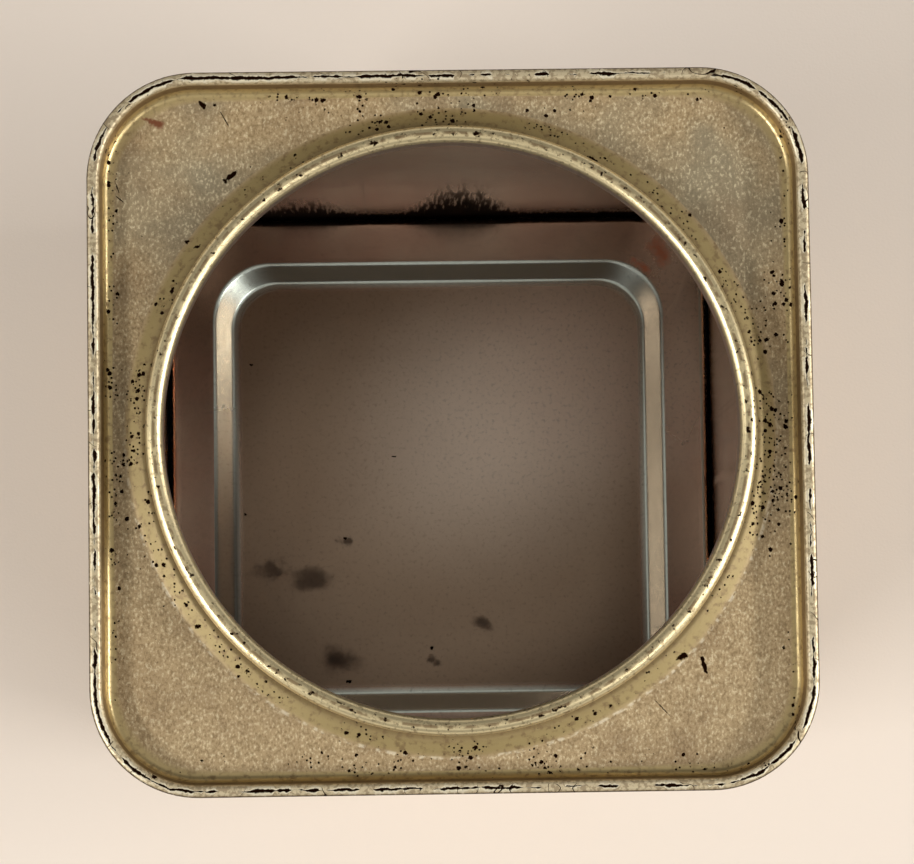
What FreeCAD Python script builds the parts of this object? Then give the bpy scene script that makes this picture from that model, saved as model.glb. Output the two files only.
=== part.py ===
import FreeCAD, Part
import math
import os

# An open square tea tin with a round mouth: a body of rolled tinplate, closed by two pressed ends.
# Both ends are double seamed, so each end's rim wraps round the hook at the body's edge in five layers.
# The top end is sunk below its seam and rises over a low cone to a round neck with a curled lip.
# The base end is the floor, and its middle is pressed down by one shallow step.
#
# Sizes are millimetres. The origin is the middle of the standing edge's square and +Z is up.
# A section is drawn in (u, z): u is the distance from the tin's axis, square to a wall, and z the height.

Vector = FreeCAD.Vector
UP = Vector(0, 0, 1)

# Overall sizes
TIN_WIDTH = 76.0  # across the seams, both ways
SEAM_TO_SEAM = 105.0  # from the standing edge up to the crown of the top seam
CORNER_RADIUS = 11.4  # of the seams' outer face, seen from above
SHEET = 0.24  # tinplate thickness

# Double seams
FOLD_GAP = 0.02  # air between two sheets pressed together
SEAM_HEIGHT = 3.1  # crown to the lower edge of the seam
HOOK_CLEARANCE = 0.25  # each hook's tip to the bottom of the fold that it lies in
CROWN_OUTER_RADIUS = 0.5
CROWN_INNER_RADIUS = 0.4
FOLD_CHAMFER = 0.14  # corners of the folds shut inside the seam

# Sunken panel of each end
PANEL_DEPTH = 2.9  # crown to the panel
CHUCK_TAPER = 8.0  # degrees that the wall round the panel leans inwards
CHUCK_FILLET = 0.8  # foot of that wall, on its hollow side

# Top end: cone, neck and curled lip, all round about the axis
PANEL_LAND = 1.25  # flat panel left between the wall's foot and the cone, at its narrowest
CONE_WIDTH = 2.1
CONE_SLOPE = 25.0  # degrees
CONE_FILLET = 0.8
NECK_STANDOFF = 1.95  # cone's crest in to the outside of the neck
NECK_FILLET = 0.5
LIP_RISE = 1.2  # top of the lip above the seam's crown
LIP_RADIUS = 0.92  # outside of the curl
LIP_TURN = 300.0  # degrees that the curl turns through

# Base end: the step pressed into the floor
FLOOR_LAND = 4.9  # flat floor round the step, from the wall's foot
STEP_SLOPE = 25.0  # degrees
STEP_DEPTH = 1.1
STEP_CORNER = 7.8  # outer corner of the step, seen from above
STEP_FILLET = 1.2  # on the hollow side of each bend

# Body
WELD_WIDTH = 1.4  # lap of the side weld, in the middle of the wall at +X
WELD_PROUD = 0.06  # that it stands out from each face of the wall
WELD_CLEARANCE = 0.3  # from the weld's ends to the seams and the ends' shoulders

# The five sheets of a seam, from the outside in, as (outer face, inner face)
SEAM_OUTSIDE = TIN_WIDTH / 2


def seam_layer(count):
    """Outer and inner face of the sheet that lies under count others in the seam."""
    outer = SEAM_OUTSIDE - count * (SHEET + FOLD_GAP)
    return outer, outer - SHEET


COVER_WALL, BODY_HOOK, COVER_HOOK, BODY_WALL, CHUCK_WALL = [seam_layer(count) for count in range(5)]
CORNER_CENTRE = SEAM_OUTSIDE - CORNER_RADIUS


def point_on(centre, radius, degrees):
    """Point of a circle in the (u, z) plane."""
    angle = math.radians(degrees)
    return centre[0] + radius * math.cos(angle), centre[1] + radius * math.sin(angle)


def arc(centre, radius, start, end):
    """Arc of a section, from a start angle to an end angle in degrees."""
    return [point_on(centre, radius, angle) for angle in (start, (start + end) / 2, end)]


def section(*steps):
    """Closed face in the XZ plane through the steps, each a point (u, z) or an arc."""
    runs = [step if isinstance(step, list) else [step] for step in steps]
    edges = []
    for run, following in zip(runs, runs[1:] + runs[:1]):
        here = [Vector(u, 0, z) for u, z in run]
        there = Vector(following[0][0], 0, following[0][1])
        if len(here) == 3:
            edges.append(Part.Arc(*here).toShape())
        if here[-1].distanceToPoint(there) > Part.Precision.confusion():
            edges.append(Part.LineSegment(here[-1], there).toShape())
    return Part.Face(Part.Wire(edges))


def join(shapes):
    """One solid out of shapes that share whole faces."""
    return shapes[0].fuse(shapes[1:]).removeSplitter()


def carry_round_square(face, centre):
    """Solid ring: the section along four walls and round four corners centred at (centre, centre)."""
    wall = face.translated(Vector(0, -centre, 0)).extrude(Vector(0, 2 * centre, 0))
    bend = face.translated(Vector(0, centre, 0)).revolve(Vector(centre, centre, 0), UP, 90)
    return join([piece.rotated(Vector(), UP, 90 * turn) for turn in range(4) for piece in (wall, bend)])


def rounded_square(half, radius, z):
    """Wire of a square with round corners, at height z."""
    centre = half - radius
    edges = []
    middle = point_on((centre, centre), radius, 45)
    side = Part.LineSegment(Vector(half, -centre, z), Vector(half, centre, z)).toShape()
    bend = Part.Arc(Vector(half, centre, z), Vector(*middle, z), Vector(centre, half, z)).toShape()
    for turn in range(4):
        edges += [edge.rotated(Vector(), UP, 90 * turn) for edge in (side, bend)]
    return Part.Wire(edges)


def slab(outline, thickness):
    """Upright slab that rises from a flat outline."""
    return Part.Face(outline).extrude(thickness * UP)


def chuck_fillet_centre():
    """Centre of the fillet between the leaning wall of an end and its panel, below a crown at z = 0."""
    lean = math.radians(CHUCK_TAPER)
    drop = PANEL_DEPTH - CHUCK_FILLET - CROWN_INNER_RADIUS + CHUCK_FILLET * math.sin(lean)
    along = drop / math.cos(lean)
    return CHUCK_WALL[1] - along * math.sin(lean) - CHUCK_FILLET * math.cos(lean), CHUCK_FILLET - PANEL_DEPTH


PANEL_EDGE = chuck_fillet_centre()[0]
PANEL_CORNER = PANEL_EDGE - CORNER_CENTRE


def end_rim():
    """Rim of an end with its crown at z = 0: cover hook, seam wall, crown, and wall down to the panel."""
    crown_outer = (COVER_WALL[0] - CROWN_OUTER_RADIUS, -CROWN_OUTER_RADIUS)
    crown_inner = (CHUCK_WALL[1] + CROWN_INNER_RADIUS, -CROWN_INNER_RADIUS)
    fold_radius = (COVER_WALL[0] - COVER_HOOK[1]) / 2
    fold = (COVER_WALL[0] - fold_radius, fold_radius - SEAM_HEIGHT)
    fold_floor = SHEET - SEAM_HEIGHT
    hook_tip = -(2 * SHEET + FOLD_GAP + HOOK_CLEARANCE)
    foot = chuck_fillet_centre()
    wall_angle = -CHUCK_TAPER
    return section(
        arc(crown_outer, CROWN_OUTER_RADIUS, 90, 0),
        arc(fold, fold_radius, 0, -180),
        (COVER_HOOK[1], hook_tip),
        (COVER_HOOK[0], hook_tip),
        (COVER_HOOK[0], fold_floor),
        (COVER_WALL[1], fold_floor),
        (COVER_WALL[1], -SHEET - FOLD_CHAMFER),
        (COVER_WALL[1] - FOLD_CHAMFER, -SHEET),
        (CHUCK_WALL[0] + FOLD_CHAMFER, -SHEET),
        (CHUCK_WALL[0], -SHEET - FOLD_CHAMFER),
        (CHUCK_WALL[0], -CROWN_INNER_RADIUS),
        arc(foot, CHUCK_FILLET + SHEET, wall_angle, -90),
        arc(foot, CHUCK_FILLET, -90, wall_angle),
        arc(crown_inner, CROWN_INNER_RADIUS, 180, 90),
    )


def neck():
    """Cone, neck and curled lip inside the panel's round hole, turned about the axis, crown at z = 0."""
    rise = 90 - CONE_SLOPE
    slope = math.radians(CONE_SLOPE)
    wide = CONE_FILLET + SHEET
    bends = CONE_FILLET + wide
    straight_run = CONE_WIDTH - bends * math.sin(slope)
    climb = bends * (1 - math.cos(slope)) + straight_run * math.tan(slope)
    land = climb - PANEL_DEPTH
    foot = (PANEL_EDGE - PANEL_LAND, CONE_FILLET - PANEL_DEPTH)
    crest = (foot[0] - CONE_WIDTH, land - wide)
    outside = crest[0] - NECK_STANDOFF
    bend = (outside + NECK_FILLET, land + NECK_FILLET)
    lip = (outside - SHEET + LIP_RADIUS, LIP_RISE - LIP_RADIUS)
    lip_end = 180 - LIP_TURN
    profile = section(
        arc(foot, CONE_FILLET, -90, -90 - CONE_SLOPE),
        arc(crest, wide, rise, 90),
        arc(bend, NECK_FILLET, 270, 180),
        arc(lip, LIP_RADIUS - SHEET, 180, lip_end),
        arc(lip, LIP_RADIUS, lip_end, 180),
        arc(bend, NECK_FILLET + SHEET, 180, 270),
        arc(crest, CONE_FILLET, 90, rise),
        arc(foot, wide, -90 - CONE_SLOPE, -90),
    )
    return profile.revolve(Vector(), UP, 360)


def top_end():
    """Top end: rim, flat panel with its round hole, and neck."""
    underside = -PANEL_DEPTH - SHEET
    panel = slab(rounded_square(PANEL_EDGE, PANEL_CORNER, underside), SHEET)
    hole = Part.makeCylinder(PANEL_EDGE - PANEL_LAND, SHEET, Vector(0, 0, underside))
    shape = join([carry_round_square(end_rim(), CORNER_CENTRE), panel.cut(hole), neck()])
    return shape.translated(Vector(0, 0, SEAM_TO_SEAM))


def floor_step():
    """Section of the floor's step with the land's underside at z = 0, and its inner edge."""
    rise = 90 - STEP_SLOPE
    slope = math.radians(STEP_SLOPE)
    wide = STEP_FILLET + SHEET
    bends = STEP_FILLET + wide
    straight_drop = STEP_DEPTH - bends * (1 - math.cos(slope))
    run = bends * math.sin(slope) + straight_drop / math.tan(slope)
    upper = (PANEL_EDGE - FLOOR_LAND, -STEP_FILLET)
    lower = (upper[0] - run, wide - STEP_DEPTH)
    return section(
        arc(upper, wide, 90, 90 + STEP_SLOPE),
        arc(lower, STEP_FILLET, -rise, -90),
        arc(lower, wide, -90, -rise),
        arc(upper, STEP_FILLET, 90 + STEP_SLOPE, 90),
    ), lower[0]


def stepped_floor():
    """Floor of one sheet's thickness inside the base end's rim: land, step and sunken middle."""
    step, middle_edge = floor_step()
    land_edge = PANEL_EDGE - FLOOR_LAND
    centre = land_edge - STEP_CORNER
    land = slab(rounded_square(PANEL_EDGE, PANEL_CORNER, 0), SHEET)
    opening = slab(rounded_square(land_edge, STEP_CORNER, 0), SHEET)
    middle = slab(rounded_square(middle_edge, middle_edge - centre, -STEP_DEPTH), SHEET)
    return join([land.cut(opening), carry_round_square(step, centre), middle]).translated(PANEL_DEPTH * UP)


def base_end():
    """Base end: the same rim turned over, standing on its crown, with the stepped floor."""
    rim = carry_round_square(end_rim(), CORNER_CENTRE).mirror(Vector(), UP)
    return join([rim, stepped_floor()])


def body_edge():
    """Points of the body's section with the crown at z = 0: out from the wall, round the hook and back in."""
    fold_top = -SHEET - FOLD_GAP
    fold_under = fold_top - SHEET
    hook_tip = SHEET + HOOK_CLEARANCE - SEAM_HEIGHT
    return [
        (BODY_WALL[0], fold_under),
        (BODY_HOOK[1], fold_under),
        (BODY_HOOK[1], hook_tip),
        (BODY_HOOK[0], hook_tip),
        (BODY_HOOK[0], fold_top - FOLD_CHAMFER),
        (BODY_HOOK[0] - FOLD_CHAMFER, fold_top),
        (BODY_WALL[1] + FOLD_CHAMFER, fold_top),
        (BODY_WALL[1], fold_top - FOLD_CHAMFER),
    ]


def side_weld():
    """Lap of the side weld, proud of both faces of the wall between the two seams."""
    bottom = max(SEAM_HEIGHT, PANEL_DEPTH + SHEET) + WELD_CLEARANCE
    low = Vector(BODY_WALL[1] - WELD_PROUD, -WELD_WIDTH / 2, bottom)
    return Part.makeBox(SHEET + 2 * WELD_PROUD, WELD_WIDTH, SEAM_TO_SEAM - 2 * bottom, low)


def body():
    """Body: one sheet rolled to a rounded square, hooked outwards at both edges and welded at +X."""
    edge = body_edge()
    upper = [(u, SEAM_TO_SEAM + z) for u, z in edge]
    lower = [(u, -z) for u, z in reversed(edge)]
    return carry_round_square(section(*upper, *lower), CORNER_CENTRE).fuse(side_weld())


def main():
    """Build the three pieces and write one STEP file for each."""
    os.makedirs("parts", exist_ok=True)
    for node, build in (("body", body), ("top_end", top_end), ("base_end", base_end)):
        shape = build()
        shape.exportStep(f"parts/{node}.step")
        print(node, "valid", shape.isValid(), "solids", len(shape.Solids), "volume", round(shape.Volume, 1))


if __name__ == "__main__":
    main()
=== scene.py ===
"""An open square tea tin of gold lacquered tinplate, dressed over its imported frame.

Three sheets make the tin: a body with its side weld, a base end and a top end. Each is built as the
middle line of a bent sheet, given its thickness and carried round the tin's plan. A section is drawn
in (u, z), in millimetres: u is the distance from the tin's axis, square to a wall, and z the height
above the standing edge. Angles are in degrees.
"""

from __future__ import annotations

import logging
import math
from dataclasses import dataclass
from enum import Enum
from functools import partial
from typing import Any, Sequence, Union

import bpy
import numpy as np
from mathutils import Matrix, Vector

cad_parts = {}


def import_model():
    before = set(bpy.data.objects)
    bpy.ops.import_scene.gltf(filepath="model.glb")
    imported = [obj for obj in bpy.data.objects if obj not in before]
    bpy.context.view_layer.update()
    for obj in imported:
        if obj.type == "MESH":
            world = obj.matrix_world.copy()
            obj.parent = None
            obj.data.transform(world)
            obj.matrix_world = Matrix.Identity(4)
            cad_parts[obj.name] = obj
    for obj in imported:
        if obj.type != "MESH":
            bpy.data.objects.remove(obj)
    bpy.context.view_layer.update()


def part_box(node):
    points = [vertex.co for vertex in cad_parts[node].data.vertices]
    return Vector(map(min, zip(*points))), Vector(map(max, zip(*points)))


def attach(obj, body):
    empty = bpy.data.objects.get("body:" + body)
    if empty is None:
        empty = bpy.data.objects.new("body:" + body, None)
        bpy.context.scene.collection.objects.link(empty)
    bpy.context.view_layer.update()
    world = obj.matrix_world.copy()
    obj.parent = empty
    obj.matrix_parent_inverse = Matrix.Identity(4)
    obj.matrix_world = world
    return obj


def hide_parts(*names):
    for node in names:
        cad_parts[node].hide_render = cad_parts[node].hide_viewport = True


LOG = logging.getLogger("tea_tin")
MM = 0.001  # metres in a millimetre
BODY = "root"
SAME_POINT = 1e-6  # millimetres within which two points are one
Point = tuple[float, float]
Size = Union[float, tuple[float, float, float]]


# ---------------------------------------------------------------- sections and sheets


@dataclass(frozen=True)
class Run:
    """A straight stretch of a section, from one (u, z) point to another."""

    start: Point
    end: Point
    steps: int = 1

    def points(self) -> np.ndarray:
        """Points of the stretch: start and end mixed in even shares."""
        share = np.linspace(0.0, 1.0, self.steps + 1)[:, None]
        return (1.0 - share) * np.array(self.start) + share * np.array(self.end)


@dataclass(frozen=True)
class Bend:
    """A round stretch of a section, between two angles in degrees about its centre."""

    centre: Point
    radius: float
    start: float
    end: float
    steps: int = 8

    def points(self) -> np.ndarray:
        """Points of the stretch: the centre plus the radius times (cos a, sin a)."""
        angle = np.radians(np.linspace(self.start, self.end, self.steps + 1))
        return np.array(self.centre) + self.radius * np.stack([np.cos(angle), np.sin(angle)], axis=1)


Part = Union[Run, Bend]


class Zone(Enum):
    """Stretch of a sheet that wears and shines in its own way, and the attribute that marks it."""

    HOOK = "hook"
    SEAM = "seam"
    WALL = "wall"
    PANEL = "panel"
    CONE = "cone"
    NECK = "neck"
    LIP = "lip"


@dataclass
class Midline:
    """Middle of a bent sheet, as one row of the surface for each of its points.

    Attributes:
        points: (u, z) of each row.
        zones: zone of each row.
        length: distance along the sheet to each row.
    """

    points: np.ndarray
    zones: np.ndarray
    length: np.ndarray

    @classmethod
    def through(cls, parts: Sequence[tuple[Zone, Part]]) -> "Midline":
        """Join stretches end to end, and drop the points that two stretches share.

        Args:
            parts: each stretch with its zone, in order along the sheet.

        Returns:
            The middle line.
        """
        drawn = [(zone, part.points()) for zone, part in parts]
        points = np.vstack([run for _, run in drawn])
        zones = np.concatenate([[zone.value] * len(run) for zone, run in drawn])
        step = np.linalg.norm(np.diff(points, axis=0), axis=1)
        kept = np.concatenate([[True], step > SAME_POINT])
        points, zones = points[kept], zones[kept]
        length = np.concatenate([[0.0], np.cumsum(np.linalg.norm(np.diff(points, axis=0), axis=1))])
        return cls(points, zones, length)

    def normals(self) -> np.ndarray:
        """Unit vectors to the right of the line: its slope along its own length, turned a quarter.

        Returns:
            One vector for each row.
        """
        slope = np.gradient(self.points, self.length, axis=0)
        right = np.stack([slope[:, 1], -slope[:, 0]], axis=1)
        return right / np.linalg.norm(right, axis=1, keepdims=True)


@dataclass(frozen=True)
class Plan:
    """Columns of every sheet round the tin, seen from above.

    A square with round corners is c * S + r * D, where c is how far out its corners' centres lie,
    r is their radius, S runs along the walls and D is the outward direction. A circle is r * C,
    where C is the direction in which each column stands from the axis.
    """

    corner_centre: float
    corner_radius: float
    side_columns: int = 62
    corner_columns: int = 22
    tuck: float = 0.012

    def quarter(self) -> tuple[np.ndarray, np.ndarray]:
        """S and D over one wall and the corner after it.

        Returns:
            Both, with a row for each column of the sheet.
        """
        even = np.linspace(-1.0, 1.0, self.side_columns + 1)[:-1]
        share = np.sort(np.concatenate([even, [self.tuck - 1.0, 1.0 - self.tuck]]))
        angle = np.radians(np.linspace(0.0, 90.0, self.corner_columns + 1)[:-1])
        wall = np.stack([np.ones_like(share), share], axis=1)
        wall_out = np.stack([np.ones_like(share), np.zeros_like(share)], axis=1)
        corner = np.ones((len(angle), 2))
        corner_out = np.stack([np.cos(angle), np.sin(angle)], axis=1)
        return np.vstack([wall, corner]), np.vstack([wall_out, corner_out])

    def columns(self) -> tuple[np.ndarray, np.ndarray, np.ndarray]:
        """S, D and C of every column, by turning one quarter to the other three walls.

        Returns:
            All three, with a row for each column of the sheet.
        """
        walls, outward = self.quarter()
        quarter_turn = np.array([[0.0, -1.0], [1.0, 0.0]])
        turns = [np.linalg.matrix_power(quarter_turn, count) for count in range(4)]
        walls = np.vstack([walls @ turn.T for turn in turns])
        outward = np.vstack([outward @ turn.T for turn in turns])
        stand = self.corner_centre * walls + self.corner_radius * outward
        return walls, outward, stand / np.linalg.norm(stand, axis=1, keepdims=True)

    def along(self) -> np.ndarray:
        """Distance of each column round the seam from the first one.

        Returns:
            One distance for each column.
        """
        walls, outward, _ = self.columns()
        ring = self.corner_centre * walls + self.corner_radius * outward
        return np.concatenate([[0.0], np.cumsum(np.linalg.norm(np.diff(ring, axis=0), axis=1))])

    def place(self, u: np.ndarray, z: np.ndarray, centre: np.ndarray, roundness: np.ndarray) -> np.ndarray:
        """Stand rows round the tin: (1 - w) * (c * S + (u - c) * D) + w * u * C at height z.

        Args:
            u: distance out of each row.
            z: height of each row.
            centre: how far out the row's corner centres lie.
            roundness: 0 where the row follows the walls and 1 where it is a circle.

        Returns:
            Points as rows, columns and coordinates.
        """
        walls, outward, circle = self.columns()
        square = centre[:, None, None] * walls + (u - centre)[:, None, None] * outward
        ring = (1.0 - roundness)[:, None, None] * square + (roundness * u)[:, None, None] * circle
        height = np.broadcast_to(z[:, None, None], (*ring.shape[:2], 1))
        return np.concatenate([ring, height], axis=2)


def waves(x: np.ndarray, y: np.ndarray, pitch: float, seed: int, count: int = 7) -> np.ndarray:
    """Smooth unevenness between about -1 and 1: plane waves of near that pitch in random directions.

    Args:
        x: first coordinate of the points.
        y: second coordinate of the points.
        pitch: distance from crest to crest.
        seed: which unevenness.
        count: how many waves are added.

    Returns:
        The sum of the waves at each point, divided by the root of their number.
    """
    draw = np.random.default_rng(seed)
    heading = draw.uniform(0.0, math.tau, count)
    phase = draw.uniform(0.0, math.tau, count)
    rate = math.tau / (pitch * draw.uniform(0.7, 1.5, count))
    travel = x[..., None] * (rate * np.cos(heading)) + y[..., None] * (rate * np.sin(heading))
    return np.sin(travel + phase).sum(axis=-1) / math.sqrt(count)


def grid_faces(rows: int, columns: int, closed: bool) -> np.ndarray:
    """Four-sided faces of a grid whose last column meets the first.

    Args:
        rows: number of rows of points.
        columns: number of points in a row.
        closed: whether the last row meets the first too.

    Returns:
        One face to a row, as four point numbers.
    """
    number = np.arange(rows * columns).reshape(rows, columns)
    this_row = number if closed else number[:-1]
    next_row = np.roll(number, -1, axis=0) if closed else number[1:]
    corners = [this_row, np.roll(this_row, -1, axis=1), np.roll(next_row, -1, axis=1), next_row]
    return np.stack(corners, axis=2).reshape(-1, 4)


def cap_faces(row: np.ndarray, pole: int, turned: bool) -> np.ndarray:
    """Triangles from a ring of points to the one point in its middle.

    Args:
        row: numbers of the ring's points.
        pole: number of the point in the middle.
        turned: whether the triangles are turned over.

    Returns:
        One triangle to a row, as three point numbers.
    """
    following = np.roll(row, -1)
    pair = (following, row) if turned else (row, following)
    return np.stack([pair[0], pair[1], np.full_like(row, pole)], axis=1)


def signed_volume(points: np.ndarray, faces: list[list[int]]) -> float:
    """Volume inside the faces, below zero if they point inwards: a sum of a . (b x c) / 6 over fans.

    Args:
        points: corners of the surface.
        faces: faces of three or four corners.

    Returns:
        The volume, in the cube of the points' own unit.
    """
    total = 0.0
    for size in (3, 4):
        chosen = np.array([face for face in faces if len(face) == size])
        for second in range(1, size - 1) if len(chosen) else ():
            a, b, c = (points[chosen[:, index]] for index in (0, second, second + 1))
            total += float(np.einsum("ij,ij->", a, np.cross(b, c))) / 6.0
    return total


def close_ends(
    points: np.ndarray, faces: list[list[int]], columns: int
) -> tuple[np.ndarray, list[list[int]]]:
    """Close the first and the last ring of a grid to a point each, which is the mean of the ring.

    Args:
        points: points of the grid, ring after ring.
        faces: faces of the grid.
        columns: number of points in a ring.

    Returns:
        The points and the faces, with the new ones at their ends.
    """
    count = len(points)
    ends = [points[:columns].mean(axis=0), points[-columns:].mean(axis=0)]
    first = cap_faces(np.arange(columns), count, turned=True)
    last = cap_faces(np.arange(count - columns, count), count + 1, turned=False)
    return np.vstack([points, ends]), faces + first.tolist() + last.tolist()


def stand(name: str, data: bpy.types.ID) -> bpy.types.Object:
    """Put an object with that data into the scene.

    Args:
        name: name of the object.
        data: mesh, lamp or camera that it shows.

    Returns:
        The object.
    """
    made = bpy.data.objects.new(name, data)
    bpy.context.scene.collection.objects.link(made)
    return made


def set_mark(mesh: bpy.types.Mesh, name: str, values: np.ndarray) -> None:
    """Give every point of a mesh a number, as an attribute that the finish reads."""
    layer = mesh.attributes.new(name, "FLOAT", "POINT")
    layer.data.foreach_set("value", values.astype(np.float32).ravel())


def make_mesh(
    name: str, points: np.ndarray, faces: list[list[int]], marks: dict[str, np.ndarray]
) -> bpy.types.Object:
    """Put a closed surface into a smooth mesh object at the origin, with its faces outwards.

    Args:
        name: name of the piece.
        points: corners in millimetres.
        faces: corner numbers of each face.
        marks: a number at every corner for each attribute that the finish reads.

    Returns:
        The object.
    """
    if signed_volume(points, faces) < 0:
        faces = [face[::-1] for face in faces]
    mesh = bpy.data.meshes.new(name)
    mesh.from_pydata((points * MM).tolist(), [], faces)
    for mark, values in marks.items():
        set_mark(mesh, mark, values)
    mesh.polygons.foreach_set("use_smooth", np.ones(len(mesh.polygons), bool))
    mesh.validate()
    return stand(name, mesh)


@dataclass
class Sheet:
    """A bent sheet carried round the plan: its middle line with half the thickness put on each side.

    Attributes:
        plan: columns round the tin.
        line: rows across the sheet.
        thickness: of the tinplate.
        centre: how far out each row's corner centres lie.
        roundness: how far each row has turned from a square to a circle.
        shift: what is added to each point of the middle surface, as rows, columns and coordinates.
    """

    plan: Plan
    line: Midline
    thickness: float
    centre: np.ndarray
    roundness: np.ndarray
    shift: np.ndarray

    def face(self, side: float) -> np.ndarray:
        """Points of one face: the middle line moved by half the thickness along its normal."""
        moved = self.line.points + side * 0.5 * self.thickness * self.line.normals()
        return self.plan.place(moved[:, 0], moved[:, 1], self.centre, self.roundness) + self.shift

    def marks(self) -> dict[str, np.ndarray]:
        """Attributes of one face: its zones, and how far each point is along and across the seam.

        Returns:
            A number at each point, by the attribute's name.
        """
        columns = len(self.plan.columns()[0])
        seam = self.line.zones == Zone.SEAM.value
        crown = self.line.length[seam].mean() if seam.any() else 0.0
        across = np.repeat(self.line.length - crown, columns)
        found = {zone.value: np.repeat(self.line.zones == zone.value, columns) * 1.0 for zone in Zone}
        return {**found, "across": across, "along": np.tile(self.plan.along(), len(self.line.length))}

    def build(self, name: str, poles: bool) -> bpy.types.Object:
        """Close both faces into one skin, and mark with 1 the one on the left of the middle line.

        Args:
            name: name of the piece.
            poles: whether the last rows are rings about the axis that close to a point each.

        Returns:
            The piece.
        """
        right, left = self.face(1.0), self.face(-1.0)
        rows, columns = right.shape[:2]
        skin = np.concatenate([left[::-1], right] if poles else [right, left[::-1]]).reshape(-1, 3)
        order = (-1, 1) if poles else (1, -1)
        marks = {
            mark: np.concatenate([values.reshape(rows, columns)[::step].ravel() for step in order])
            for mark, values in self.marks().items()
        }
        marks["left"] = np.repeat([1.0, 0.0] if poles else [0.0, 1.0], rows * columns)
        faces = grid_faces(2 * rows, columns, closed=not poles).tolist()
        if poles:
            skin, faces = close_ends(skin, faces, columns)
            marks = {mark: np.append(values, [values[0], values[-1]]) for mark, values in marks.items()}
        return make_mesh(name, skin, faces, marks)


# ---------------------------------------------------------------- finishes


def linear(hex_colour: str) -> tuple[float, float, float, float]:
    """Linear colour of an sRGB hex value such as "#C8B48C".

    Args:
        hex_colour: the sRGB colour.

    Returns:
        Red, green and blue from 0 to 1, and 1.
    """
    levels = [int(hex_colour[start : start + 2], 16) / 255.0 for start in (1, 3, 5)]
    turned = [level / 12.92 if level <= 0.04045 else ((level + 0.055) / 1.055) ** 2.4 for level in levels]
    return (*turned, 1.0)


def add(
    tree: bpy.types.NodeTree, kind: str, feeds: dict[Any, Any] | None = None, out: Any = 0, **settings: Any
) -> Any:
    """Add one node with its settings, and feed its sockets with values or with other nodes' outputs.

    Args:
        tree: node tree that gets the node.
        kind: Blender's name for the kind of node.
        feeds: what goes into each socket, by the socket's name or number.
        out: which of the node's outputs is given back.
        **settings: the node's own properties.

    Returns:
        The chosen output socket, or the node itself if it has no outputs.
    """
    made = tree.nodes.new(kind)
    for name, value in settings.items():
        setattr(made, name, value)
    for socket, value in (feeds or {}).items():
        if isinstance(value, bpy.types.NodeSocket):
            tree.links.new(value, made.inputs[socket])
        else:
            made.inputs[socket].default_value = value
    return made.outputs[out] if len(made.outputs) else made


@dataclass(frozen=True)
class Patches:
    """Patches of a coat, which lie where a soft noise is above a level.

    Attributes:
        size: width of the noise's lumps in millimetres.
        seed: which noise.
        detail: how many finer noises are added to it.
        start: level at which a patch starts.
        full: level at which it covers most; below start, it covers the hollows of the noise.
        cover: how well it covers there.
    """

    size: Size
    seed: float
    detail: float
    start: float
    full: float
    cover: float = 1.0

    @property
    def noise(self) -> tuple[Size, float, float]:
        """What tells the noise apart from others: its size, seed and detail."""
        return self.size, self.seed, self.detail


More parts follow.
